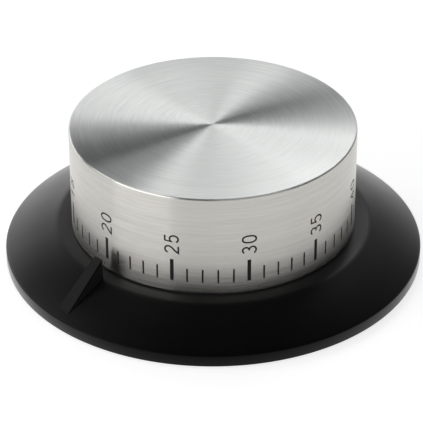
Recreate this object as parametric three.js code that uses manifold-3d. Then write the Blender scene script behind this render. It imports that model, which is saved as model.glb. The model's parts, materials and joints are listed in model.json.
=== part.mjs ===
// A wind-up 60-minute kitchen timer: a steel dial on a low flared base, over a
// spring-driven movement with a bell. Millimetres, +Z up, origin at the centre of
// the underside, dial axis on Z. The pointer rib of the base stands at
// POINTER_AZIMUTH, and the dial is modelled set to 20 minutes.
import * as THREE from 'three';
import { mergeVertices } from 'three/addons/utils/BufferGeometryUtils.js';
import Module from 'manifold-3d';

const wasm = await Module();
wasm.setup();

// ---- driving dimensions ----
const DIAL_R = 34;
const DIAL_WALL = 0.7;
const DIAL_BOTTOM_Z = 9.5;
const DIAL_TOP_Z = 34.7;
const DIAL_EDGE_R = 0.5;
const TOP_THICKNESS = 0.9;
const RIM_R = 50.1;
const RIM_BOTTOM_Z = 0.6;
const RIM_TOP_Z = 3.65;
const RIM_EDGE_R = 0.45;
const SKIRT_TOP_Z = 9.15;
const SKIRT_BULGE = 0.4;
const LAND_R = 37;
const SKIRT_THICKNESS = 2.1;
const COLLAR_R = 31.6;
const COLLAR_WALL = 1.6;
const COLLAR_TOP_Z = 12;
const DECK_R = 24;
const DECK_TOP_Z = 9.6;
const DECK_THICKNESS = 2;
const POINTER_AZIMUTH = -135.8;
const POINTER_INNER_WIDTH = 3.05;
const POINTER_OUTER_WIDTH = 4.3;
const POINTER_INNER_R = 36.7;
const POINTER_OUTER_R = 48.4;
const POINTER_INNER_TOP_Z = 14.2;
const POINTER_OUTER_TOP_Z = RIM_TOP_Z + 0.8;
const COVER_R = 46.2;
const COVER_Z = [0.8, 2.4];
const COVER_GAP = 0.3;
const COVER_LEDGE = 1.7;
const FOOT_R = [41, 45];
const FOOT_TOP_Z = 1.58;
const BOSS_R = 38;
const BOSS_ANGLES = [30, 150, 270];
const BELL_R = 15;
const BELL_WALL = 0.6;
const BELL_Z = [4.45, 9.1];
const BELL_POST_R = 3.4;
const BELL_POST_TOP_Z = 4.4;
const PLATE_R = 25.5;
const PLATE_THICKNESS = 1;
const LOWER_PLATE_Z = 9.65;
const UPPER_PLATE_Z = 24;
const EAR_R = 26.8;
const EAR_ANGLES = [0, 120, 240];
const PILLAR_R = 23.2;
const PILLAR_ANGLES = [135, 300, 355];
const PIVOT_R = 0.5;
const PIVOT_HOLE_R = 0.64;
const SMALL_ARBOR_R = 0.7;
const WHEEL_HOLE_R = 0.78;
const ARBOR_R = 2;
const ARBOR_HOLE_R = 2.1;
const ARBOR_TOP_Z = 31.4;
const STOP_R = 18;
const DIAL_STOP_ANGLE = 20;
const STOP_BLOCKED_ANGLE = 123;
const STOP_PIN_R = 0.5;
const BARREL_R = 12.4;
const BARREL_WALL = 0.6;

// holes and gaps that screws, seats and turning pieces share
const PILOT_R = 1.15;
const PILLAR_HOLE_R = 1.05;
const SEAT_GAP = 0.05;
const THIN_GAP = 0.02;
const END_SHAKE = 0.15;
const PIVOT_INSET = 0.1;

// tooth counts and modules of the going train and of the strike train
const GREAT_TEETH = 42;
const GREAT_MODULE = 0.7;
const SECOND_PINION_TEETH = 7;
const SECOND_TEETH = 36;
const SECOND_MODULE = 0.46;
const THIRD_PINION_TEETH = 6;
const THIRD_TEETH = 36;
const THIRD_MODULE = 0.4;
const ESCAPE_PINION_TEETH = 6;
const ESCAPE_TEETH = 15;
const ESCAPE_R = 5;
const BARREL_TEETH = 40;
const BARREL_MODULE = 0.7;
const STRIKE_PINION_TEETH = 8;
const STRIKE_TEETH = 14;
const STRIKE_R = 7.3;

// levels of the wheels between the two plates: bottom and top of each
const BARREL_GEAR_Z = [11.2, 12.2];
const BARREL_TOP_Z = 16.3;
const BARREL_LID_Z = [16.35, 16.85];
const ESCAPE_Z = [14.4, 15];
const BALANCE_Z = [12.8, 13.6];
const GREAT_Z = [17.4, 18.2];
const RATCHET_Z = [18.4, 19.2];
const SECOND_Z = [20, 20.6];
const STRIKE_Z = [20.4, 21.4];
const THIRD_Z = [21.6, 22.2];
const CAM_Z = [22.4, 23.2];

// arbor places in plan
const polar = (radius, degrees) => new THREE.Vector2(
  radius * Math.cos(THREE.MathUtils.degToRad(degrees)),
  radius * Math.sin(THREE.MathUtils.degToRad(degrees)));
const ringStep = (r1, r2, distance) => THREE.MathUtils.radToDeg(
  Math.acos((r1 * r1 + r2 * r2 - distance * distance) / (2 * r1 * r2)));
const gearDistance = (teethA, teethB, module) => (teethA + teethB) * module / 2;

const CENTRE = new THREE.Vector2(0, 0);
const SECOND_RADIUS = gearDistance(GREAT_TEETH, SECOND_PINION_TEETH, GREAT_MODULE);
const THIRD_RADIUS = 17.2;
const ESCAPE_RADIUS = 18.4;
const BALANCE_RADIUS = 18.6;
const BALANCE_DISTANCE = 7.2;
const SECOND_ANGLE = 172;
const THIRD_ANGLE = SECOND_ANGLE + ringStep(SECOND_RADIUS, THIRD_RADIUS,
  gearDistance(SECOND_TEETH, THIRD_PINION_TEETH, SECOND_MODULE));
const ESCAPE_ANGLE = THIRD_ANGLE + ringStep(THIRD_RADIUS, ESCAPE_RADIUS,
  gearDistance(THIRD_TEETH, ESCAPE_PINION_TEETH, THIRD_MODULE));
const BALANCE_ANGLE = ESCAPE_ANGLE + ringStep(ESCAPE_RADIUS, BALANCE_RADIUS, BALANCE_DISTANCE);
const STRIKE_RADIUS = gearDistance(BARREL_TEETH, STRIKE_PINION_TEETH, BARREL_MODULE);
const STRIKE_ANGLE = 60;
const HAMMER_RADIUS = 20.6;
const HAMMER_ANGLE = 96;
const LEVER_RADIUS = 19.5;
const LEVER_ANGLE = 22;
const CLICK_RADIUS = 10.2;
const CLICK_ANGLE = 100;

const SECOND_AT = polar(SECOND_RADIUS, SECOND_ANGLE);
const THIRD_AT = polar(THIRD_RADIUS, THIRD_ANGLE);
const ESCAPE_AT = polar(ESCAPE_RADIUS, ESCAPE_ANGLE);
const BALANCE_AT = polar(BALANCE_RADIUS, BALANCE_ANGLE);
const STRIKE_AT = polar(STRIKE_RADIUS, STRIKE_ANGLE);
const HAMMER_AT = polar(HAMMER_RADIUS, HAMMER_ANGLE);
const LEVER_AT = polar(LEVER_RADIUS, LEVER_ANGLE);
const CLICK_AT = polar(CLICK_RADIUS, CLICK_ANGLE);
const STOP_AT = polar(STOP_R, DIAL_STOP_ANGLE + STOP_BLOCKED_ANGLE);
const ARBOR_PLACES = [SECOND_AT, THIRD_AT, ESCAPE_AT, BALANCE_AT, STRIKE_AT, LEVER_AT];

// ---- finishes ----
const finish = (color, roughness, metalness) => new THREE.MeshStandardMaterial(
  { color, roughness, metalness });
const steel = finish(0xc9cacb, 0.3, 1);
const blackPlastic = finish(0x17181a, 0.5, 0);
const innerPlastic = finish(0x2a2b2d, 0.6, 0);
const rubber = finish(0x101112, 0.9, 0);
const brass = finish(0xc9a452, 0.35, 1);
const plateSteel = finish(0xb3b5b8, 0.45, 1);
const springSteel = finish(0x6f7c8c, 0.35, 1);
const zinc = finish(0xd0d2d4, 0.4, 1);

// ---- solids ----
const group = new THREE.Group();

function toManifold(geometry) {
  const bare = geometry.clone();
  bare.deleteAttribute('normal');
  bare.deleteAttribute('uv');
  const merged = mergeVertices(bare.index ? bare.toNonIndexed() : bare, 1e-4);
  return new wasm.Manifold(new wasm.Mesh({
    numProp: 3,
    vertProperties: merged.attributes.position.array,
    triVerts: merged.index.array,
  }));
}

function toGeometry(solid) {
  const mesh = solid.getMesh();
  const geometry = new THREE.BufferGeometry();
  geometry.setAttribute('position', new THREE.BufferAttribute(mesh.vertProperties, 3));
  geometry.setIndex(new THREE.BufferAttribute(mesh.triVerts, 1));
  return geometry;
}

const join = (...geometries) => toGeometry(
  geometries.map(toManifold).reduce((whole, part) => whole.add(part)));
const cut = (geometry, ...tools) => toGeometry(
  tools.map(toManifold).reduce((whole, part) => whole.subtract(part), toManifold(geometry)));

function add(name, geometry, material, at = CENTRE) {
  const mesh = new THREE.Mesh(geometry, material);
  mesh.name = name;
  mesh.position.set(at.x, at.y, 0);
  group.add(mesh);
}

// A turned solid about Z from [radius, height] points, starting on a seam at azimuth 0.
function turned(points, segments) {
  const first = points[0];
  const closed = [...points, first].map(([r, z]) => new THREE.Vector2(r, z));
  const geometry = new THREE.LatheGeometry(closed, segments);
  geometry.rotateX(Math.PI / 2);
  return geometry;
}

const disc = (radius, bottom, top, segments = 24) => turned(
  [[0, bottom], [radius, bottom], [radius, top], [0, top]], segments);
const ring = (inner, outer, bottom, top, segments = 32) => turned(
  [[inner, bottom], [outer, bottom], [outer, top], [inner, top]], segments);
const moved = (geometry, at, z = 0) => geometry.translate(at.x, at.y, z);

// A flat piece cut from sheet: an outline of Vector2 points, raised from bottom to top.
function sheet(outline, bottom, top, holes = []) {
  const shape = new THREE.Shape(outline);
  holes.forEach((hole) => shape.holes.push(new THREE.Path(hole)));
  const geometry = new THREE.ExtrudeGeometry(shape, { depth: top - bottom, bevelEnabled: false });
  return geometry.translate(0, 0, bottom);
}

const circle = (radius, count, at = CENTRE) => Array.from({ length: count },
  (_, i) => polar(radius, 360 * i / count).add(at));

function box(x, y, z) {
  const geometry = new THREE.BoxGeometry(x[1] - x[0], y[1] - y[0], z[1] - z[0]);
  return geometry.translate((x[0] + x[1]) / 2, (y[0] + y[1]) / 2, (z[0] + z[1]) / 2);
}

// Gear outline: straight-flanked teeth, the first one centred on the angle given. The
// corners are given as a radius and a share of the tooth pitch.
function gearOutline(teeth, module, firstTooth) {
  const dedendum = 1.15;
  const addendum = 0.8;
  const halfRoot = 0.3;
  const halfTip = 0.1;
  const pitchR = teeth * module / 2;
  const rootR = pitchR - dedendum * module;
  const tipR = pitchR + addendum * module;
  const pitch = 360 / teeth;
  const corners = [[rootR, -halfRoot], [tipR, -halfTip], [tipR, halfTip], [rootR, halfRoot]];
  return Array.from({ length: teeth }, (_, i) => i).flatMap((i) => corners.map(
    ([r, offset]) => polar(r, firstTooth + pitch * (i + offset))));
}

// Outline of a ratchet, escape or strike wheel: each tooth has one steep and one long
// flank and a flat tip, and leans by a share of the tooth pitch.
function hookedOutline(teeth, rootR, tipR, lean) {
  const tipWidth = 2;
  const pitch = 360 / teeth;
  return Array.from({ length: teeth }, (_, i) => pitch * i).flatMap((angle) => [
    polar(rootR, angle - 0.5 * pitch),
    polar(tipR, angle + lean * pitch),
    polar(tipR, angle + lean * pitch + tipWidth),
    polar(rootR, angle + 0.3 * pitch)]);
}

const angleTo = (from, to) => THREE.MathUtils.radToDeg(Math.atan2(to.y - from.y, to.x - from.x));

// ---- base ----
function skirtArc() {
  const outer = new THREE.Vector2(RIM_R - RIM_EDGE_R, RIM_TOP_Z + 0.1);
  const inner = new THREE.Vector2(LAND_R, SKIRT_TOP_Z);
  const chord = inner.clone().sub(outer);
  const away = new THREE.Vector2(-chord.y, chord.x).normalize().negate();
  const steps = 4;
  return Array.from({ length: steps + 1 }, (_, i) => {
    const t = i / steps;
    const lift = 4 * SKIRT_BULGE * t * (1 - t);
    return outer.clone().addScaledVector(chord, t).addScaledVector(away, lift).toArray();
  });
}

function baseSkirt() {
  const seatR = COVER_R + COVER_GAP;
  const seatTop = COVER_Z[1] + SEAT_GAP;
  const ledgeR = COVER_R - COVER_LEDGE;
  const ledgeTop = 3.6;
  const collarInnerR = COLLAR_R - COLLAR_WALL;
  const shell = turned([
    [seatR, RIM_BOTTOM_Z], [RIM_R, RIM_BOTTOM_Z], [RIM_R, RIM_TOP_Z - RIM_EDGE_R],
    ...skirtArc(),
    [COLLAR_R, SKIRT_TOP_Z], [COLLAR_R, COLLAR_TOP_Z], [collarInnerR, COLLAR_TOP_Z],
    [collarInnerR, DECK_TOP_Z], [DECK_R, DECK_TOP_Z], [DECK_R, DECK_TOP_Z - DECK_THICKNESS],
    [DIAL_R, SKIRT_TOP_Z - SKIRT_THICKNESS], [ledgeR, ledgeTop],
    [ledgeR, seatTop], [seatR, seatTop],
  ], 40);
  const bossR = 3;
  const bossTop = 6.6;
  const pilotTop = 6;
  const bosses = BOSS_ANGLES.map((angle) => moved(
    disc(bossR, seatTop, bossTop, 8), polar(BOSS_R, angle)));
  const pilots = BOSS_ANGLES.map((angle) => moved(
    disc(PILOT_R, COVER_Z[0], pilotTop, 8), polar(BOSS_R, angle)));
  const deckHoles = EAR_ANGLES.map((angle) => moved(
    disc(PILOT_R, DECK_TOP_Z - DECK_THICKNESS - 1, DECK_TOP_Z + 1, 8), polar(EAR_R, angle)));
  return cut(join(shell, pointerRib(), ...bosses), ...pilots, ...deckHoles);
}

// The rib is a wedge: flush with the skirt near the rim, and highest and narrowest at its
// inner end. Its underside is buried in the skirt.
function pointerRib() {
  const innerFoot = 7.6;
  const outerFoot = 3;
  const outline = [[POINTER_INNER_R, innerFoot], [POINTER_OUTER_R, outerFoot],
    [POINTER_OUTER_R, POINTER_OUTER_TOP_Z], [POINTER_INNER_R, POINTER_INNER_TOP_Z]]
    .map(([r, z]) => new THREE.Vector2(r, z));
  const geometry = sheet(outline, -0.5, 0.5);
  geometry.rotateX(Math.PI / 2);
  const corners = geometry.attributes.position;
  for (let i = 0; i < corners.count; i += 1) {
    const width = THREE.MathUtils.mapLinear(corners.getX(i), POINTER_INNER_R, POINTER_OUTER_R,
      POINTER_INNER_WIDTH, POINTER_OUTER_WIDTH);
    corners.setY(i, corners.getY(i) * width);
  }
  return geometry.rotateZ(THREE.MathUtils.degToRad(POINTER_AZIMUTH));
}

// The cover has a groove for the foot ring, sound slots and a post that carries the bell.
function bottomCover() {
  const [bottom, top] = COVER_Z;
  const [grooveInner, grooveOuter] = [FOOT_R[0] - 0.1, FOOT_R[1] + 0.1];
  const grooveTop = FOOT_TOP_Z + THIN_GAP;
  const plate = turned([
    [0, bottom], [grooveInner, bottom], [grooveInner, grooveTop], [grooveOuter, grooveTop],
    [grooveOuter, bottom], [COVER_R, bottom], [COVER_R, top], [BELL_POST_R, top],
    [BELL_POST_R, BELL_POST_TOP_Z], [0, BELL_POST_TOP_Z]], 36);
  const headR = 2.3;
  const shankR = 1.2;
  const above = top + 0.6;
  const screwHoles = BOSS_ANGLES.map((angle) => moved(turned(
    [[0, 0], [headR, 0], [headR, 1.2], [shankR, 1.9], [shankR, above], [0, above]], 8),
  polar(BOSS_R, angle)));
  const slotCount = 6;
  const slots = Array.from({ length: slotCount }, (_, i) => box([10, 20], [-0.9, 0.9], [0, above])
    .rotateZ(2 * Math.PI * i / slotCount));
  const bellScrewHole = disc(0.9, 2.6, BELL_POST_TOP_Z + 0.6, 10);
  return cut(plate, bellScrewHole, ...screwHoles, ...slots);
}

// A countersunk screw, its head just inside the underside of the cover.
function coverScrew() {
  const bottom = COVER_Z[0] + SEAT_GAP;
  const headR = 1.9;
  const shankR = 0.9;
  const tip = 5.6;
  const body = turned([[0, bottom], [headR, bottom], [headR, 1.3], [shankR, 1.85],
    [shankR, tip], [0, tip]], 8);
  return cut(body, box([-2, 2], [-0.25, 0.25], [0.5, 1.2]));
}

// A pan-head screw that points down, with a slot across its head.
function panScrew(headBottom, headTop, shankBottom, headR, shankR) {
  const slotHalfWidth = 0.2;
  const slotDepth = 0.5;
  const body = turned([[0, shankBottom], [shankR, shankBottom], [shankR, headBottom],
    [headR, headBottom], [headR, headTop], [0, headTop]], 8);
  return cut(body, box([-headR, headR], [-slotHalfWidth, slotHalfWidth],
    [headTop - slotDepth, headTop + 1]));
}

function addBase() {
  add('base_skirt', baseSkirt(), blackPlastic);
  add('bottom_cover', bottomCover(), blackPlastic);
  add('foot_ring', ring(FOOT_R[0], FOOT_R[1], 0, FOOT_TOP_Z, 36), rubber);
  BOSS_ANGLES.forEach((angle, i) => add(
    `cover_screw_${i + 1}`, coverScrew(), zinc, polar(BOSS_R, angle)));
}

// ---- bell: a shallow cup, open towards the movement ----
function addBell() {
  const [bottom, top] = BELL_Z;
  const holeR = 1.3;
  const floorTop = bottom + BELL_WALL;
  const innerR = BELL_R - BELL_WALL;
  const cup = turned([[holeR, bottom], [BELL_R - 1.6, bottom], [BELL_R, bottom + 1.75],
    [BELL_R, top], [innerR, top], [innerR, bottom + 2.05], [BELL_R - 2, floorTop],
    [holeR, floorTop]], 28);
  add('bell', cup, brass);
  add('bell_screw', panScrew(floorTop + SEAT_GAP, 6.3, 2.8, 2.4, 0.75), zinc);
}

// ---- movement frame ----
const BUSH_R = 3.4;
const BUSH_HOLE_R = 3.75;
const LOWER_TOP_Z = LOWER_PLATE_Z + PLATE_THICKNESS;
const UPPER_TOP_Z = UPPER_PLATE_Z + PLATE_THICKNESS;

function lowerPlate() {
  const earR = 2.6;
  const ears = EAR_ANGLES.map((angle) => moved(
    disc(earR, LOWER_PLATE_Z, LOWER_TOP_Z, 12), polar(EAR_R, angle)));
  const plate = join(disc(PLATE_R, LOWER_PLATE_Z, LOWER_TOP_Z, 36), ...ears);
  const through = (at, radius) => moved(
    disc(radius, LOWER_PLATE_Z - 1, LOWER_TOP_Z + 1, 8), at);
  return cut(plate,
    ...ARBOR_PLACES.map((at) => through(at, PIVOT_HOLE_R)),
    through(CENTRE, 1.4), through(HAMMER_AT, 1.1),
    ...PILLAR_ANGLES.map((angle) => through(polar(PILLAR_R, angle), PILLAR_HOLE_R)),
    ...EAR_ANGLES.map((angle) => through(polar(EAR_R, angle), PILOT_R)));
}

function upperPlate() {
  const through = (at, radius) => moved(
    disc(radius, UPPER_PLATE_Z - 1, UPPER_TOP_Z + 1, 8), at);
  return cut(disc(PLATE_R, UPPER_PLATE_Z, UPPER_TOP_Z, 36),
    ...[...ARBOR_PLACES, HAMMER_AT].map((at) => through(at, PIVOT_HOLE_R)),
    through(CENTRE, BUSH_HOLE_R), through(STOP_AT, STOP_PIN_R + 0.08),
    ...PILLAR_ANGLES.map((angle) => through(polar(PILLAR_R, angle), PILLAR_HOLE_R)));
}

// A pillar stands on the lower plate by a shoulder, and is bored for its screw on top.
function pillar() {
  const bodyR = 1.7;
  const tenonR = 0.95;
  const boreDepth = 4;
  const foot = LOWER_TOP_Z + THIN_GAP;
  const top = UPPER_PLATE_Z - THIN_GAP;
  const body = turned([[0, LOWER_PLATE_Z], [tenonR, LOWER_PLATE_Z], [tenonR, foot],
    [bodyR, foot], [bodyR, top], [0, top]], 10);
  return cut(body, disc(tenonR, UPPER_PLATE_Z - boreDepth, UPPER_PLATE_Z + 1, 8));
}

function arborBush() {
  const flangeR = 4.6;
  const bottom = UPPER_PLATE_Z - 0.3;
  const flangeBottom = UPPER_TOP_Z + SEAT_GAP;
  const top = UPPER_TOP_Z + 0.8;
  return turned([[ARBOR_HOLE_R, bottom], [BUSH_R, bottom], [BUSH_R, flangeBottom],
    [flangeR, flangeBottom], [flangeR, top], [ARBOR_HOLE_R, top]], 12);
}

function addFrame() {
  add('lower_plate', lowerPlate(), plateSteel);
  add('upper_plate', upperPlate(), plateSteel);
  add('arbor_bush', arborBush(), brass);
  PILLAR_ANGLES.forEach((angle, i) => {
    const at = polar(PILLAR_R, angle);
    const screw = panScrew(UPPER_TOP_Z + THIN_GAP, UPPER_TOP_Z + 1.2, 20.4, 1.8, 0.75);
    add(`pillar_${i + 1}`, pillar(), plateSteel, at);
    add(`pillar_screw_${i + 1}`, screw, zinc, at);
  });
  EAR_ANGLES.forEach((angle, i) => {
    const screw = panScrew(LOWER_TOP_Z + SEAT_GAP, 12, 7.7, 1.9, 0.9);
    add(`movement_screw_${i + 1}`, screw, zinc, polar(EAR_R, angle));
  });
  const pinTop = 29;
  add('stop_pin', disc(STOP_PIN_R, UPPER_PLATE_Z, pinTop, 10), plateSteel, STOP_AT);
}

// ---- dial and main arbor ----
function dialShell() {
  const under = DIAL_TOP_Z - TOP_THICKNESS;
  const innerR = DIAL_R - DIAL_WALL;
  const rounding = Array.from({ length: 3 }, (_, i) => {
    const corner = polar(DIAL_EDGE_R, 45 * i);
    return [DIAL_R - DIAL_EDGE_R + corner.x, DIAL_TOP_Z - DIAL_EDGE_R + corner.y];
  });
  return turned([[0, under], [innerR, under], [innerR, DIAL_BOTTOM_Z],
    [DIAL_R, DIAL_BOTTOM_Z], ...rounding, [0, DIAL_TOP_Z]], 48);
}

// The plastic carrier in the shell, with a hub on the arbor and a lug that meets the pin.
function dialInsert() {
  const hubR = [2.25, 5];
  const hubBottom = 26.6;
  const top = DIAL_TOP_Z - TOP_THICKNESS - SEAT_GAP;
  const under = top - 1.8;
  const outer = DIAL_R - DIAL_WALL - 0.08;
  const inner = outer - 1.4;
  const bottom = DIAL_BOTTOM_Z + 0.8;
  const body = turned([[hubR[0], hubBottom], [hubR[1], hubBottom], [hubR[1], under],
    [inner, under], [inner, bottom], [outer, bottom], [outer, top], [hubR[0], top]], 32);
  const lug = box([STOP_R - 1, STOP_R + 1], [-0.4, 0.4], [27, top - 1])
    .rotateZ(THREE.MathUtils.degToRad(DIAL_STOP_ANGLE));
  return join(body, lug);
}

function mainArbor() {
  const bottom = LOWER_PLATE_Z + PIVOT_INSET;
  const pivotR = 1.3;
  const shoulder = 10.9;
  return turned([[0, bottom], [pivotR, bottom], [pivotR, shoulder], [ARBOR_R, shoulder],
    [ARBOR_R, ARBOR_TOP_Z], [0, ARBOR_TOP_Z]], 12);
}

function addDial() {
  add('dial_shell', dialShell(), steel);
  add('dial_insert', dialInsert(), innerPlastic);
  add('main_arbor', mainArbor(), plateSteel);
  add('alarm_cam', alarmCam(), brass);
  const ratchetTeeth = 15;
  const ratchetR = [4.9, 6];
  add('ratchet_wheel', sheet(hookedOutline(ratchetTeeth, ...ratchetR, 0.35), ...RATCHET_Z,
    [circle(ARBOR_HOLE_R, 12)]), springSteel);
}

// The cam's notch passes the release lever when the dial reads zero, a third of a turn
// back from the 20 minutes that the dial is set to.
function alarmCam() {
  const camR = 8;
  const notchR = 6.6;
  const count = 40;
  const notchAngle = LEVER_ANGLE - 120;
  const outline = Array.from({ length: count }, (_, i) => polar(
    i < 2 ? notchR : camR, notchAngle + 360 * i / count));
  return sheet(outline, ...CAM_Z, [circle(ARBOR_HOLE_R, 12)]);
}

// ---- driving wheel, with the click that lets the dial be wound ----
const CLICK_STUD_R = 0.48;

function clickStud() {
  const headR = 1;
  const [bottom, neck, top] = [GREAT_Z[0], RATCHET_Z[1] + 0.1, RATCHET_Z[1] + 0.5];
  return turned([[0, bottom], [CLICK_STUD_R, bottom], [CLICK_STUD_R, neck], [headR, neck],
    [headR, top], [0, top]], 8);
}

// The click is a two-armed lever round its stud: a nose in the ratchet teeth, and a heel.
function clickLever() {
  const nose = polar(6.35, 68);
  const heel = polar(10.6, 122);
  const outline = [polar(1.5, 10).add(CLICK_AT), nose.clone().add(polar(0.5, 60)),
    nose, polar(1.5, 225).add(CLICK_AT), heel.clone().add(polar(0.6, 240)), heel,
    polar(1.6, 110).add(CLICK_AT)];
  return sheet(outline, ...RATCHET_Z, [circle(CLICK_STUD_R + 0.1, 10, CLICK_AT)]);
}

function clickSpring() {
  const thickness = 0.3;
  const line = [[13.2, 132], [13, 116], [12.3, 100], [10.9, 84], [9.4, 76]]
    .map(([r, a]) => polar(r, a));
  return sheet(stripOutline(line, thickness), ...RATCHET_Z);
}

// A strip of even thickness, outside a line of points given from the dial axis.
function stripOutline(line, thickness) {
  const back = line.map((p) => p.clone().setLength(p.length() + thickness)).reverse();
  return [...line, ...back];
}

function addGreatWheel() {
  const windows = [10, 190, 280].map((angle) => circle(3.2, 8, polar(9.6, angle)));
  const outline = gearOutline(GREAT_TEETH, GREAT_MODULE, angleTo(CENTRE, SECOND_AT));
  const holes = [circle(ARBOR_HOLE_R, 12), circle(CLICK_STUD_R + 0.07, 8, CLICK_AT), ...windows];
  add('great_wheel', sheet(outline, ...GREAT_Z, holes), brass);
  add('click_stud', clickStud(), plateSteel, CLICK_AT);
  add('click', clickLever(), plateSteel);
  add('click_spring', clickSpring(), springSteel);
}

// ---- going train ----
// An arbor with a thin pivot at each end, in the holes of the two plates.
function plainArbor(bottom = LOWER_PLATE_Z + PIVOT_INSET) {
  const lowShoulder = LOWER_TOP_Z + END_SHAKE;
  const highShoulder = UPPER_PLATE_Z - END_SHAKE;
  const top = UPPER_TOP_Z - PIVOT_INSET;
  return turned([[0, bottom], [PIVOT_R, bottom], [PIVOT_R, lowShoulder],
    [SMALL_ARBOR_R, lowShoulder], [SMALL_ARBOR_R, highShoulder], [PIVOT_R, highShoulder],
    [PIVOT_R, top], [0, top]], 8);
}

const pinionArbor = (teeth, module, firstTooth, pinionZ) => join(
  plainArbor(), sheet(gearOutline(teeth, module, firstTooth), ...pinionZ));

// The angle that puts a gap between two pinion teeth, and not a tooth, towards a wheel.
const facing = (teeth, from, to) => angleTo(from, to) + 180 / teeth;
const wheelHole = [circle(WHEEL_HOLE_R, 10)];

function addGoingTrain() {
  add('second_arbor', pinionArbor(SECOND_PINION_TEETH, GREAT_MODULE,
    facing(SECOND_PINION_TEETH, SECOND_AT, CENTRE), [16.9, 18.7]), plateSteel, SECOND_AT);
  add('second_wheel', sheet(gearOutline(SECOND_TEETH, SECOND_MODULE,
    angleTo(SECOND_AT, THIRD_AT)), ...SECOND_Z, wheelHole), brass, SECOND_AT);
  add('third_arbor', pinionArbor(THIRD_PINION_TEETH, SECOND_MODULE,
    facing(THIRD_PINION_TEETH, THIRD_AT, SECOND_AT), [19.5, 21.1]), plateSteel, THIRD_AT);
  add('third_wheel', sheet(gearOutline(THIRD_TEETH, THIRD_MODULE,
    angleTo(THIRD_AT, ESCAPE_AT)), ...THIRD_Z, wheelHole), brass, THIRD_AT);
  add('escape_arbor', pinionArbor(ESCAPE_PINION_TEETH, THIRD_MODULE,
    facing(ESCAPE_PINION_TEETH, ESCAPE_AT, THIRD_AT), [21.2, 22.6]), plateSteel, ESCAPE_AT);
  add('escape_wheel', sheet(hookedOutline(ESCAPE_TEETH, 3.6, ESCAPE_R, 0.1), ...ESCAPE_Z,
    wheelHole), brass, ESCAPE_AT);
}

// A two-armed lever whose arms end just outside a toothed wheel's tip circle. The arms
// stand at the spread angle on both sides of the line to the wheel.
function anchorOutline(pivot, wheelAt, reach, armR, spread) {
  const hubR = 1.5;
  const armWidth = 8;
  const towards = angleTo(pivot, wheelAt);
  return [polar(hubR, towards - 90), polar(armR, towards - spread - armWidth),
    polar(armR, towards - spread), polar(reach, towards), polar(armR, towards + spread),
    polar(armR, towards + spread + armWidth), polar(hubR, towards + 90),
    polar(hubR, towards + 180)];
}

function addBalance() {
  add('balance_staff', plainArbor(), plateSteel, BALANCE_AT);
  add('pallet_fork', sheet(anchorOutline(BALANCE_AT, ESCAPE_AT, 1.4, 5.8, 64), ...ESCAPE_Z,
    wheelHole), plateSteel, BALANCE_AT);
  const rim = ring(4, 5.2, ...BALANCE_Z, 20);
  const hub = disc(1.5, ...BALANCE_Z, 12);
  const spokes = box([-4.4, 4.4], [-0.5, 0.5], BALANCE_Z);
  const hole = disc(WHEEL_HOLE_R, BALANCE_Z[0] - 1, BALANCE_Z[1] + 1, 10);
  add('balance_wheel', cut(join(rim, hub, spokes), hole), brass, BALANCE_AT);
}

// ---- spring barrel and strike train ----
function addBarrel() {
  const [bottom, floorTop] = BARREL_GEAR_Z;
  const flange = sheet(gearOutline(BARREL_TEETH, BARREL_MODULE, angleTo(CENTRE, STRIKE_AT)),
    bottom, floorTop);
  const drum = disc(BARREL_R, bottom, BARREL_TOP_Z, 32);
  const room = disc(BARREL_R - BARREL_WALL, floorTop, BARREL_TOP_Z + 1, 32);
  const arborHole = disc(ARBOR_HOLE_R, bottom - 1, BARREL_TOP_Z + 1, 12);
  add('spring_barrel', cut(join(flange, drum), room, arborHole), brass);
  add('barrel_lid', ring(ARBOR_HOLE_R, BARREL_R, ...BARREL_LID_Z, 28), brass);
  add('mainspring', mainspring(), springSteel);
}

// A flat spiral strip of even pitch between the arbor and the barrel wall.
function mainspring() {
  const turns = 5;
  const steps = 70;
  const thickness = 0.35;
  const width = [12.5, 16];
  const innerR = ARBOR_R + 0.9;
  const outerR = BARREL_R - 1.1;
  const line = Array.from({ length: steps + 1 }, (_, i) => polar(
    innerR + (outerR - innerR) * i / steps, 360 * turns * i / steps));
  return sheet(stripOutline(line, thickness), ...width);
}

function addStrike() {
  add('strike_arbor', pinionArbor(STRIKE_PINION_TEETH, BARREL_MODULE,
    facing(STRIKE_PINION_TEETH, STRIKE_AT, CENTRE), [11, 12.6]), plateSteel, STRIKE_AT);
  add('strike_wheel', sheet(hookedOutline(STRIKE_TEETH, 6, STRIKE_R, 0.1), ...STRIKE_Z,
    wheelHole), brass, STRIKE_AT);
  addHammer();
}

// The hammer's arbor runs down through the lower plate, and its arm swings beside the bell.
function addHammer() {
  const arborBottom = 6.2;
  const armZ = [6.4, 7];
  const armLength = 4.4;
  const hubR = 1.3;
  const halfTip = 0.6;
  add('hammer_arbor', plainArbor(arborBottom), plateSteel, HAMMER_AT);
  add('hammer_pallet', sheet(anchorOutline(HAMMER_AT, STRIKE_AT, 1.6, 5, 62), ...STRIKE_Z,
    wheelHole), plateSteel, HAMMER_AT);
  const along = HAMMER_ANGLE + 118;
  const headAt = polar(armLength, along);
  const arm = [polar(hubR, along + 180), polar(hubR, along + 90),
    headAt.clone().add(polar(halfTip, along + 90)),
    headAt.clone().add(polar(halfTip, along - 90)), polar(hubR, along - 90)];
  add('hammer_arm', sheet(arm, ...armZ, [circle(PIVOT_R + 0.06, 10)]), plateSteel, HAMMER_AT);
  add('hammer_head', moved(disc(1.2, 7.1, 8.8, 12), headAt), brass, HAMMER_AT);
}

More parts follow.
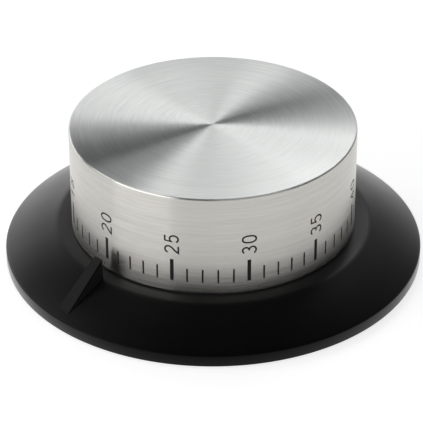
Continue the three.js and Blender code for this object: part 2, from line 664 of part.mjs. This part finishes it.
// The release lever points at the dial axis, and its nose rides on the cam's edge.
function addReleaseLever() {
  const noseR = 8.25;
  const hubR = 1.6;
  const halfTip = 0.5;
  add('lever_arbor', plainArbor(), plateSteel, LEVER_AT);
  const inward = LEVER_ANGLE + 180;
  const nose = polar(LEVER_RADIUS - noseR, inward);
  const outline = [polar(hubR, inward - 90), nose.clone().add(polar(halfTip, inward - 90)),
    nose.clone().add(polar(halfTip, inward + 90)), polar(hubR, inward + 90),
    polar(hubR, inward + 180)];
  add('release_lever', sheet(outline, ...CAM_Z, wheelHole), plateSteel, LEVER_AT);
}

addBase();
addBell();
addFrame();
addDial();
addGreatWheel();
addGoingTrain();
addBalance();
addBarrel();
addStrike();
addReleaseLever();

export default group;
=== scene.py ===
"""Looks of the wind-up kitchen timer: finer shells, printed marks, materials, light and camera.

Everything is in metres in the frame of the CAD model: Z is the dial's axis, the table is z = 0
and the camera stands on the -Y side. Azimuths are measured from -Y towards +X, in degrees.
"""
import json
import math

import bmesh
import bpy
from mathutils import Matrix, Vector


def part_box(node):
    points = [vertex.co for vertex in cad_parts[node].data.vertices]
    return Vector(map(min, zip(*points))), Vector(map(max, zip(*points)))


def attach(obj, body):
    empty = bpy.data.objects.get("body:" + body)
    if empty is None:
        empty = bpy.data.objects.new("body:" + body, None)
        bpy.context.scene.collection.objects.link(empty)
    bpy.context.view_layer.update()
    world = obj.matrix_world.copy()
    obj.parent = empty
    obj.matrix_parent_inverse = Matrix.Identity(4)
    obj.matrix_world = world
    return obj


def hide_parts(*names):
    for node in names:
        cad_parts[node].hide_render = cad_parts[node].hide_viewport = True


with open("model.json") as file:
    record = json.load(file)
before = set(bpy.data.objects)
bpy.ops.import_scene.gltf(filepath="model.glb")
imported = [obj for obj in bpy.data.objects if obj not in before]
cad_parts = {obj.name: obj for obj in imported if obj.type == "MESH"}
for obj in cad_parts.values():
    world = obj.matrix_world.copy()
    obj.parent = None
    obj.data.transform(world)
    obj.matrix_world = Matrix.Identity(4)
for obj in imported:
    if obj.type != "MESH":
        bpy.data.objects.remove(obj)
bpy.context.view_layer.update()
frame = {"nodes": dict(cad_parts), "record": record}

MM = 0.001

# ---- sizes taken from the frame ----
DIAL_LOW, DIAL_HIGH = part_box("dial_shell")
SKIRT_LOW, SKIRT_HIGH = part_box("base_skirt")
DIAL_R = DIAL_HIGH.x
DIAL_BOTTOM = DIAL_LOW.z
DIAL_TOP = DIAL_HIGH.z
RIM_R = SKIRT_HIGH.x
RIM_BOTTOM = SKIRT_LOW.z

# ---- dial ----
DIAL_WALL = 0.7 * MM
DIAL_TOP_SHEET = 0.9 * MM
DIAL_EDGE = 0.5 * MM
DIAL_FOOT = 0.12 * MM
DIAL_INNER_BEND = 0.8 * MM
DIAL_SEGMENTS = 256
WALL_ROUGHNESS = 0.225
TOP_ROUGHNESS = 0.335
WALL_GREYS = (0.48, 0.62)
# The top's greys are lighter than the wall's: painted light on the top face of the same steel.
TOP_GREYS_PAINTED_LIGHTER = (0.64, 0.8)
WALL_TINT = (1.0, 0.975, 0.915)
TOP_TINT = (0.985, 1.0, 0.985)

# ---- skirt and pointer rib ----
RIM_TOP = RIM_BOTTOM + 3.05 * MM
RIM_EDGE = 0.45 * MM
SKIRT_TOP = RIM_BOTTOM + 8.55 * MM
SKIRT_BULGE = 0.4 * MM
LAND_R = 37 * MM
LAND_BLEND = 0.25 * MM
SKIRT_SEGMENTS = 256
CROWN_STEPS = 24
BLACK_GREYS = (0.0006, 0.0012)
BLACK_TINT = (1.0, 1.02, 1.06)
RIM_FOOT_EDGE = 0.25 * MM
COLLAR_R = 31.6 * MM
COLLAR_WALL = 1.6 * MM
COLLAR_TOP = 12 * MM
DECK_R = 24 * MM
DECK_TOP = 9.6 * MM
COVER_SEAT_R = 46.5 * MM
COVER_SEAT_TOP = 2.45 * MM
COVER_LEDGE_R = COVER_SEAT_R - 2 * MM
COVER_LEDGE_TOP = 3.6 * MM
DECK_THICKNESS = 2 * MM
UNDER_DIAL_Z = 7.05 * MM
RIB_AZIMUTH = -45.8
RIB_INNER_WIDTH = 3.05 * MM
RIB_OUTER_WIDTH = 4.3 * MM
RIB_INNER_R = 36.7 * MM
RIB_OUTER_R = 48.4 * MM
RIB_INNER_TOP = 14.2 * MM
RIB_OUTER_TOP = RIM_TOP + 0.8 * MM
RIB_INNER_FOOT = 7.6 * MM
RIB_OUTER_FOOT = 3 * MM
RIB_EDGE = 0.38 * MM

# ---- printed scale: 60 minutes to a turn, and the pointer reads 20 ----
MINUTES = 60
MAJOR_EVERY = 5
READING = 20
READING_AZIMUTH = -46.1
INK_PROUD = 0.015 * MM
INK_SUNK = 0.05 * MM
MARK_BOTTOM = DIAL_BOTTOM + 3.0 * MM
MAJOR_TOP = DIAL_BOTTOM + 8.65 * MM
MINOR_TOP = DIAL_BOTTOM + 6.5 * MM
MAJOR_WIDTH = 0.86 * MM
MINOR_WIDTH = 0.42 * MM
FIGURE_BOTTOM = DIAL_BOTTOM + 10.2 * MM
FIGURE_HEIGHT = 3.3 * MM
FIGURE_STEP = 2.85 * MM
FIGURE_STROKE = 0.4 * MM

# ---- light ----
WORLD_BRIGHTNESS = 0.08
FLOOR_GLOW = 0.76
PANEL_DISTANCE = 0.8
# Name, azimuth, elevation, width, height and brightness of each soft panel.
PANELS = [
    ("left_screen", -54, 18, 0.68, 0.8, 1.8),
    ("high_back", 170, 50, 0.4, 0.21, 2.5),
    ("back_right", 165, 36, 0.24, 0.18, 2.1),
    ("left_sweep", -157, 13, 0.42, 0.42, 0.9),
    ("right_sweep", 155, 4, 0.4, 0.2, 0.8),
    ("overhead", -176, 65, 0.42, 0.21, 1.0),
    ("left_side", -128, 14, 0.4, 0.2, 1.8),
    ("left_high", -102, 40, 0.36, 0.26, 2.0),
    ("left_top", -90, 62, 0.3, 0.24, 0.6),
    ("front_fill", 30, 28, 0.8, 0.44, 0.55),
]

# ---- camera ----
LENS = 191
SENSOR = 36
CAMERA_DISTANCE = 540.9 * MM
CAMERA_ELEVATION = 31.97
LOOK_DOWN = 31.88
LOOK_ASIDE = -0.05
CAMERA_ROLL = -0.2


def direction(azimuth, elevation=0.0):
    """Unit vector at an azimuth from -Y towards +X and an elevation above the table."""
    a = math.radians(azimuth)
    e = math.radians(elevation)
    return Vector((math.sin(a) * math.cos(e), -math.cos(a) * math.cos(e), math.sin(e)))


# ---- mesh helpers ----
def link(name, mesh):
    piece = bpy.data.objects.new(name, mesh)
    bpy.context.scene.collection.objects.link(piece)
    return piece


def mesh_from(bm, name, sharp_angle=35):
    """Ends a bmesh: outward normals, smooth faces, and sharp edges where the surface turns."""
    bmesh.ops.recalc_face_normals(bm, faces=bm.faces)
    for face in bm.faces:
        face.smooth = True
    for edge in bm.edges:
        if len(edge.link_faces) == 2:
            edge.smooth = edge.calc_face_angle(0) < math.radians(sharp_angle)
    mesh = bpy.data.meshes.new(name)
    bm.to_mesh(mesh)
    bm.free()
    return mesh


def arc(centre, radius, start, end, steps):
    """Points (r, z) on a circle arc, angles in degrees from the +r direction."""
    angles = [math.radians(start + (end - start) * i / steps) for i in range(steps + 1)]
    return [(centre[0] + radius * math.cos(a), centre[1] + radius * math.sin(a)) for a in angles]


def revolve(name, profile, segments):
    """A turned solid from a closed (r, z) outline; points on the axis become one vertex."""
    bm = bmesh.new()
    rings = []
    for r, z in profile:
        if r < 1e-9:
            rings.append([bm.verts.new((0, 0, z))] * segments)
            continue
        turn = [2 * math.pi * i / segments for i in range(segments)]
        rings.append([bm.verts.new((r * math.cos(t), r * math.sin(t), z)) for t in turn])
    for ring, following in zip(rings, rings[1:] + rings[:1]):
        for i in range(segments):
            j = (i + 1) % segments
            corners = list(dict.fromkeys([ring[i], ring[j], following[j], following[i]]))
            if len(corners) > 2:
                bm.faces.new(corners)
    return link(name, mesh_from(bm, name))


# ---- material helpers ----
class Graph:
    """A material's node tree, with short ways to add nodes and join them."""

    def __init__(self, name):
        self.material = bpy.data.materials.new(name)
        self.material.use_nodes = True
        self.tree = self.material.node_tree
        self.shader = self.tree.nodes["Principled BSDF"]

    def node(self, kind, inputs=None, **settings):
        made = self.tree.nodes.new(kind)
        for key, value in settings.items():
            setattr(made, key, value)
        for key, value in (inputs or {}).items():
            self.put(made.inputs[key], value)
        return made

    def put(self, socket, value):
        if isinstance(value, bpy.types.NodeSocket):
            self.tree.links.new(value, socket)
        else:
            socket.default_value = value

    def math(self, operation, a, b=0.0):
        return self.node("ShaderNodeMath", {0: a, 1: b}, operation=operation).outputs[0]

    def noise(self, vector, scale, detail=3.0):
        inputs = {"Vector": vector, "Scale": scale, "Detail": detail}
        return self.node("ShaderNodeTexNoise", inputs).outputs[0]

    def spread(self, value, low, high, start=0.0, end=1.0):
        inputs = {0: value, 1: start, 2: end, 3: low, 4: high}
        return self.node("ShaderNodeMapRange", inputs).outputs[0]

    def mix(self, factor, a, b):
        made = self.node("ShaderNodeMix", data_type="RGBA")
        self.put(made.inputs[0], factor)
        self.put(made.inputs[6], a)
        self.put(made.inputs[7], b)
        return made.outputs[2]

    def bump(self, height, strength, distance):
        inputs = {"Height": height, "Strength": strength, "Distance": distance}
        return self.node("ShaderNodeBump", inputs).outputs[0]

    def position(self):
        return self.node("ShaderNodeTexCoord").outputs["Object"]

    def turned_coordinates(self, around, along):
        """Coordinates of lathe marks: slow round the Z axis, quick along the profile."""
        x, y, z = self.node("ShaderNodeSeparateXYZ", {0: self.position()}).outputs
        square = self.math("ADD", self.math("MULTIPLY", x, x), self.math("MULTIPLY", y, y))
        r = self.math("MAXIMUM", self.math("SQRT", square), 1e-6)
        run = self.math("MULTIPLY", self.math("SUBTRACT", r, z), along)
        cosine = self.math("MULTIPLY", self.math("DIVIDE", x, r), around)
        sine = self.math("MULTIPLY", self.math("DIVIDE", y, r), around)
        return self.node("ShaderNodeCombineXYZ", {0: cosine, 1: sine, 2: run}).outputs[0]


def grey(value, tint=(1.0, 1.0, 1.0)):
    return (value * tint[0], value * tint[1], value * tint[2], 1.0)


# ---- materials ----
def brushed_steel():
    """Steel brushed in rings: the shine spreads across the rings, and fine rings catch it."""
    g = Graph("dial_brushed_steel")
    shader = g.shader
    shader.inputs["Metallic"].default_value = 1.0
    shader.inputs["Anisotropic"].default_value = 1.0
    shader.inputs["Anisotropic Rotation"].default_value = 0.25
    g.put(shader.inputs["Tangent"], g.node(
        "ShaderNodeTangent", direction_type="RADIAL", axis="Z").outputs[0])
    fine = g.noise(g.turned_coordinates(4.0, 4500), 1.0, 2.0)
    coarse = g.noise(g.turned_coordinates(0.8, 1500), 1.0)
    cloud = g.noise(g.position(), 45.0, 2.0)
    tone = g.math("ADD", g.math("MULTIPLY", fine, 0.62), g.math("MULTIPLY", coarse, 0.38))
    height = g.node("ShaderNodeSeparateXYZ", {0: g.position()}).outputs[2]
    on_top = g.spread(height, 0.0, 1.0, DIAL_TOP - DIAL_EDGE, DIAL_TOP)
    streak = g.spread(tone, 0.0, 1.0, 0.3, 0.7)
    wall_colour = g.mix(streak, *[grey(value, WALL_TINT) for value in WALL_GREYS])
    # Painted light: the top face gets a lighter grey than the wall of the same steel.
    top_colour_painted_lighter = g.mix(streak, *[grey(value, TOP_TINT) for value in TOP_GREYS_PAINTED_LIGHTER])
    g.put(shader.inputs["Base Color"], g.mix(on_top, wall_colour, top_colour_painted_lighter))
    finish = g.spread(on_top, WALL_ROUGHNESS, TOP_ROUGHNESS)
    patchy = g.math("ADD", g.spread(tone, -0.025, 0.025, 0.3, 0.7), g.spread(cloud, -0.015, 0.015))
    g.put(shader.inputs["Roughness"], g.math("ADD", finish, patchy))
    g.put(shader.inputs["Normal"], g.bump(tone, 0.35, 0.00002))
    return g.material


def soft_black():
    """Satin black moulding: a fine grain, and a roughness that drifts a little."""
    g = Graph("skirt_soft_black")
    shader = g.shader
    place = g.position()
    grain = g.noise(place, 5200.0, 2.0)
    drift = g.noise(place, 70.0)
    black = [grey(value, BLACK_TINT) for value in BLACK_GREYS]
    g.put(shader.inputs["Base Color"], g.mix(drift, *black))
    shader.inputs["Specular IOR Level"].default_value = 0.7
    shader.inputs["Specular Tint"].default_value = grey(0.05)
    shader.inputs["Sheen Weight"].default_value = 1.0
    shader.inputs["Sheen Roughness"].default_value = 0.31
    g.put(shader.inputs["Roughness"], g.spread(drift, 0.34, 0.4, 0.3, 0.7))
    g.put(shader.inputs["Normal"], g.bump(grain, 0.25, 0.00003))
    return g.material


def ink():
    """Matt printing ink, a little uneven."""
    g = Graph("scale_ink")
    patch = g.noise(g.position(), 2500.0, 2.0)
    g.put(g.shader.inputs["Base Color"], g.mix(patch, grey(0.006), grey(0.012)))
    g.put(g.shader.inputs["Roughness"], g.spread(patch, 0.4, 0.55))
    g.shader.inputs["Specular IOR Level"].default_value = 0.15
    return g.material


def moulded(name, value, roughness):
    """Moulded plastic or rubber: a fine grain, and a shade that drifts a little."""
    g = Graph(name)
    place = g.position()
    grain = g.noise(place, 3000.0, 2.0)
    g.put(g.shader.inputs["Base Color"], g.mix(g.noise(place, 90.0), grey(value), grey(value * 1.35)))
    g.put(g.shader.inputs["Roughness"], g.spread(grain, roughness - 0.05, roughness + 0.05))
    g.put(g.shader.inputs["Normal"], g.bump(grain, 0.3, 0.00004))
    return g.material


def stamped_metal(name, colour, roughness):
    """Sheet or turned metal: rolled grain along X, slight staining and a satin shine."""
    g = Graph(name)
    place = g.position()
    stretch = g.node("ShaderNodeMapping", {"Vector": place, "Scale": (0.12, 1.0, 1.0)}).outputs[0]
    grain = g.noise(stretch, 1400.0)
    stain = g.noise(place, 120.0)
    dark = tuple(c * 0.78 for c in colour) + (1.0,)
    g.shader.inputs["Metallic"].default_value = 1.0
    g.put(g.shader.inputs["Base Color"], g.mix(g.spread(stain, 0, 1, 0.35, 0.65), dark,
                                               tuple(colour) + (1.0,)))
    g.put(g.shader.inputs["Roughness"], g.spread(grain, roughness - 0.08, roughness + 0.08, 0.3, 0.7))
    g.put(g.shader.inputs["Normal"], g.bump(grain, 0.2, 0.00002))
    return g.material


# ---- dial ----
def make_dial(material):
    """The drawn steel cup: a sheet wall and top with a rounded edge, open below."""
    inner = DIAL_R - DIAL_WALL
    under = DIAL_TOP - DIAL_TOP_SHEET
    foot = DIAL_FOOT
    bend = DIAL_INNER_BEND
    profile = [(0, under)]
    profile += arc((inner - bend, under - bend), bend, 90, 0, 4)
    profile += arc((inner + foot, DIAL_BOTTOM + foot), foot, 180, 270, 3)
    profile += arc((DIAL_R - foot, DIAL_BOTTOM + foot), foot, 270, 360, 3)
    profile += [(DIAL_R, DIAL_BOTTOM + (DIAL_TOP - DIAL_BOTTOM) * share) for share in (0.33, 0.66)]
    profile += arc((DIAL_R - DIAL_EDGE, DIAL_TOP - DIAL_EDGE), DIAL_EDGE, 0, 90, 8)
    profile += [(DIAL_R * share, DIAL_TOP) for share in (0.75, 0.5, 0.25, 0.08)]
    profile += [(0, DIAL_TOP)]
    dial = revolve("dial_cup", profile, DIAL_SEGMENTS)
    dial.data.materials.append(material)
    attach(dial, "dial")
    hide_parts("dial_shell")


def oval(cx, cy, rx, ry, start, end, steps, power=1.0):
    """Points on an oval from one angle to another; a power below 1 makes it squarer."""
    points = []
    for i in range(steps + 1):
        a = math.radians(start + (end - start) * i / steps)
        c, s = math.cos(a), math.sin(a)
        points.append((cx + rx * math.copysign(abs(c) ** power, c),
                       cy + ry * math.copysign(abs(s) ** power, s)))
    return points


# Centre lines of the figures in a box one unit high, and whether the line is closed.
FIGURES = {
    "0": (oval(0.33, 0.5, 0.27, 0.48, 0, 360, 28, 0.85), True),
    "1": ([(0.12, 0.76), (0.37, 0.98), (0.37, 0.02)], False),
    "2": (oval(0.32, 0.71, 0.26, 0.27, 165, -25, 14)
          + [(0.44, 0.44), (0.2, 0.22), (0.07, 0.02), (0.6, 0.02)], False),
    "3": (oval(0.31, 0.745, 0.23, 0.235, 150, -75, 12)
          + oval(0.31, 0.27, 0.27, 0.25, 75, -155, 14), False),
    "4": ([(0.45, 0.02), (0.45, 0.98), (0.04, 0.27), (0.62, 0.27)], False),
    "5": ([(0.56, 0.98), (0.15, 0.98), (0.09, 0.52)]
          + oval(0.31, 0.33, 0.27, 0.31, 130, -150, 16), False),
}


def stroke_quads(points, closed, width):
    """The left and right edges of a stroke of even width along a line of points."""
    count = len(points)
    edges = []
    for i, (x, y) in enumerate(points):
        before = points[i - 1] if i or closed else points[0]
        after = points[(i + 1) % count] if i < count - 1 or closed else points[-1]
        into = Vector((x - before[0], y - before[1]))
        out = Vector((after[0] - x, after[1] - y))
        into = into.normalized() if into.length > 1e-9 else out.normalized()
        out = out.normalized() if out.length > 1e-9 else into
        mean = (into + out).normalized()
        across = Vector((-mean.y, mean.x))
        reach = width / 2 / max(0.45, across.dot(Vector((-into.y, into.x))))
        edges.append(((x + across.x * reach, y + across.y * reach),
                      (x - across.x * reach, y - across.y * reach)))
    return edges


def finer(edges, closed, longest=0.12):
    """The same stroke in shorter steps, so that it follows the round wall."""
    following = edges[1:] + edges[:1] if closed else edges[1:]
    pairs = []
    for here, there in zip(edges, following):
        steps = math.ceil(max(math.dist(a, b) for a, b in zip(here, there)) / longest)
        for i in range(steps):
            pairs.append([Vector(a).lerp(Vector(b), i / steps) for a, b in zip(here, there)])
    return pairs if closed else pairs + [edges[-1]]


def wall_point(azimuth, z, radius):
    return direction(math.degrees(azimuth)) * radius + Vector((0, 0, z))


def add_ribbon(bm, edges, closed):
    """A thin closed strip on the dial's wall; edges are pairs of (azimuth in radians, z)."""
    rows = []
    for pair in edges:
        rows.append([bm.verts.new(wall_point(a, z, DIAL_R + lift))
                     for lift in (INK_PROUD, -INK_SUNK) for a, z in pair])
    following = rows[1:] + rows[:1] if closed else rows[1:]
    for here, there in zip(rows, following):
        for i, j in ((0, 1), (1, 3), (3, 2), (2, 0)):
            bm.faces.new((here[i], here[j], there[j], there[i]))
    if not closed:
        for row in (rows[0], rows[-1]):
            bm.faces.new((row[0], row[1], row[3], row[2]))


def mark_azimuth(minute):
    return math.radians(READING_AZIMUTH + 360 / MINUTES * (minute - READING))


def make_scale(material):
    """The minute marks, with a longer and wider one every five minutes."""
    bm = bmesh.new()
    for minute in range(MINUTES):
        major = minute % MAJOR_EVERY == 0
        half = (MAJOR_WIDTH if major else MINOR_WIDTH) / 2 / DIAL_R
        top = MAJOR_TOP if major else MINOR_TOP
        middle = mark_azimuth(minute)
        ends = [((middle - half, z), (middle + half, z)) for z in (MARK_BOTTOM, top)]
        add_ribbon(bm, ends, False)
    scale = link("minute_marks", mesh_from(bm, "minute_marks"))
    scale.data.materials.append(material)
    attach(scale, "dial")


def make_figures(material):
    """Figures every five minutes, read upwards: their tops point to smaller azimuths."""
    bm = bmesh.new()
    for minute in range(0, MINUTES, MAJOR_EVERY):
        for place, figure in enumerate(str(minute)):
            points, closed = FIGURES[figure]
            if closed:
                points = points[:-1]
            edges = finer(stroke_quads(points, closed, FIGURE_STROKE / FIGURE_HEIGHT), closed)
            start = FIGURE_BOTTOM + place * FIGURE_STEP
            on_wall = [[(mark_azimuth(minute) - (y - 0.5) * FIGURE_HEIGHT / DIAL_R,
                         start + x * FIGURE_HEIGHT) for x, y in pair] for pair in edges]
            add_ribbon(bm, on_wall, closed)
    figures = link("minute_figures", mesh_from(bm, "minute_figures"))
    figures.data.materials.append(material)
    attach(figures, "dial")


# ---- skirt ----
def skirt_crown():
    """Points of the skirt's top from the rim inwards: a convex arc that ends in a level land."""
    outer = Vector((RIM_R - RIM_EDGE, RIM_TOP + 0.1 * MM))
    inner = Vector((LAND_R, SKIRT_TOP))
    chord = inner - outer
    away = Vector((chord.y, -chord.x)).normalized()
    points = []
    for i in range(CROWN_STEPS + 1):
        t = i / CROWN_STEPS
        lift = 4 * SKIRT_BULGE * t * (1 - t)
        r, z = outer + chord * t + away * lift
        depth = SKIRT_TOP - z
        points.append((r, SKIRT_TOP - depth * (1 - math.exp(-depth / LAND_BLEND))))
    return points + [(DIAL_R + 0.5 * MM, SKIRT_TOP)]


def make_rib_solid():
    """The pointer rib: a wedge with small rounded edges that runs into the skirt."""
    bm = bmesh.new()
    outline = [(RIB_INNER_R, RIB_INNER_WIDTH, RIB_INNER_FOOT),
               (RIB_OUTER_R, RIB_OUTER_WIDTH, RIB_OUTER_FOOT),
               (RIB_OUTER_R, RIB_OUTER_WIDTH, RIB_OUTER_TOP),
               (RIB_INNER_R, RIB_INNER_WIDTH, RIB_INNER_TOP)]
    out = direction(RIB_AZIMUTH)
    side = Vector((-out.y, out.x, 0)) / 2
    near = [bm.verts.new(out * r + side * width + Vector((0, 0, z))) for r, width, z in outline]
    far = [bm.verts.new(out * r - side * width + Vector((0, 0, z))) for r, width, z in outline]
    bm.faces.new(near)
    bm.faces.new(far[::-1])
    for i in range(4):
        j = (i + 1) % 4
        bm.faces.new((near[j], near[i], far[i], far[j]))
    bmesh.ops.bevel(bm, geom=bm.edges[:], offset=RIB_EDGE, segments=3, affect="EDGES")
    return link("rib_tool", mesh_from(bm, "rib_tool"))


def make_skirt(material):
    """The flared base with its collar and deck; the rib is joined on."""
    collar_inner = COLLAR_R - COLLAR_WALL
    corner = (RIM_R - RIM_FOOT_EDGE, RIM_BOTTOM + RIM_FOOT_EDGE)
    profile = [(COVER_SEAT_R, RIM_BOTTOM)]
    profile += arc(corner, RIM_FOOT_EDGE, 270, 360, 4)
    profile += [(RIM_R, RIM_TOP - RIM_EDGE)]
    profile += arc((RIM_R - RIM_EDGE, RIM_TOP - RIM_EDGE), RIM_EDGE, 15, 60, 3)
    profile += skirt_crown()
    profile += [(COLLAR_R, SKIRT_TOP), (COLLAR_R, COLLAR_TOP), (collar_inner, COLLAR_TOP),
                (collar_inner, DECK_TOP), (DECK_R, DECK_TOP), (DECK_R, DECK_TOP - DECK_THICKNESS),
                (DIAL_R, UNDER_DIAL_Z), (COVER_LEDGE_R, COVER_LEDGE_TOP),
                (COVER_LEDGE_R, COVER_SEAT_TOP), (COVER_SEAT_R, COVER_SEAT_TOP)]
    skirt = revolve("flared_skirt", profile, SKIRT_SEGMENTS)
    rib = make_rib_solid()
    union = skirt.modifiers.new("rib", "BOOLEAN")
    union.operation = "UNION"
    union.solver = "EXACT"
    union.object = rib
    evaluated = skirt.evaluated_get(bpy.context.evaluated_depsgraph_get())
    whole = bpy.data.meshes.new_from_object(evaluated)
    skirt.modifiers.clear()
    bm = bmesh.new()
    bm.from_mesh(whole)
    bmesh.ops.remove_doubles(bm, verts=bm.verts, dist=0.0005 * MM)
    skirt.data = mesh_from(bm, "flared_skirt")
    bpy.data.objects.remove(rib)
    skirt.data.materials.clear()
    skirt.data.materials.append(material)
    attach(skirt, "base")
    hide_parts("base_skirt")


# ---- CAD nodes that stay ----
def dress_cad_nodes():
    """Each CAD node gets the finish of its material slot."""
    finishes = {
        "black_plastic": moulded("cover_black", 0.009, 0.5),
        "inner_plastic": moulded("insert_dark", 0.03, 0.6),
        "rubber": moulded("foot_rubber", 0.012, 0.85),
        "zinc": stamped_metal("screw_zinc", (0.72, 0.73, 0.75), 0.3),
        "brass": stamped_metal("movement_brass", (0.79, 0.57, 0.24), 0.32),
        "spring_steel": stamped_metal("blued_spring", (0.22, 0.28, 0.4), 0.28),
        "plate_steel": stamped_metal("plate_steel", (0.6, 0.6, 0.61), 0.38),
        "steel": stamped_metal("cup_steel", (0.7, 0.7, 0.69), 0.35),
    }
    for part in frame["record"]["subparts"]:
        node = frame["nodes"][part["node"]]
        node.data.materials.clear()
        node.data.materials.append(finishes[part["material_slot"]])


# ---- floor, light and camera ----
def make_floor():
    bm = bmesh.new()
    bmesh.ops.create_grid(bm, x_segments=1, y_segments=1, size=6)
    floor = link("floor", mesh_from(bm, "floor"))
    g = Graph("pale_floor")
    g.put(g.shader.inputs["Base Color"], g.mix(g.noise(g.position(), 3.0), grey(0.48), grey(0.52)))
    g.shader.inputs["Roughness"].default_value = 1.0
    g.shader.inputs["Specular IOR Level"].default_value = 0.0
    g.shader.inputs["Emission Color"].default_value = grey(1.0)
    g.shader.inputs["Emission Strength"].default_value = FLOOR_GLOW
    floor.data.materials.append(g.material)


def make_panel(name, azimuth, elevation, width, height, brightness):
    """A soft light panel that faces the timer; brightness 1 looks as white as the floor."""
    light = bpy.data.lights.new(name, "AREA")
    light.shape = "RECTANGLE"
    light.size = width
    light.size_y = height
    light.energy = brightness * 4 * width * height
    lamp = bpy.data.objects.new(name, light)
    bpy.context.scene.collection.objects.link(lamp)
    away = direction(azimuth, elevation)
    lamp.location = away * PANEL_DISTANCE
    lamp.rotation_euler = away.to_track_quat("Z", "Y").to_euler()
    lamp.visible_camera = False


def make_world():
    """A plain, even and dim studio."""
    world = bpy.data.worlds.new("studio")
    bpy.context.scene.world = world
    world.use_nodes = True
    background = world.node_tree.nodes["Background"]
    background.inputs["Color"].default_value = (0.94, 0.97, 1, 1)
    background.inputs["Strength"].default_value = WORLD_BRIGHTNESS


def make_lights():
    make_world()
    for panel in PANELS:
        make_panel(*panel)


def make_camera():
    data = bpy.data.cameras.new("camera")
    data.lens = LENS
    data.sensor_width = SENSOR
    data.clip_start = 0.01
    camera = bpy.data.objects.new("camera", data)
    bpy.context.scene.collection.objects.link(camera)
    aside = math.radians(LOOK_ASIDE)
    down = math.radians(LOOK_DOWN)
    roll = math.radians(CAMERA_ROLL)
    forward = Vector((math.sin(aside) * math.cos(down), math.cos(aside) * math.cos(down),
                      -math.sin(down)))
    right = Vector((math.cos(aside), -math.sin(aside), 0))
    up = right.cross(forward)
    turned_right = right * math.cos(roll) + up * math.sin(roll)
    turned_up = up * math.cos(roll) - right * math.sin(roll)
    axes = Matrix((turned_right, turned_up, -forward)).transposed().to_4x4()
    place = Vector((0, 0, DIAL_BOTTOM)) + direction(0, CAMERA_ELEVATION) * CAMERA_DISTANCE
    camera.matrix_world = Matrix.Translation(place) @ axes
    bpy.context.scene.camera = camera


make_camera()
make_dial(brushed_steel())
scale_ink = ink()
make_scale(scale_ink)
make_figures(scale_ink)
make_skirt(soft_black())
dress_cad_nodes()
make_floor()
make_lights()
bpy.context.scene.view_settings.view_transform = "Standard"
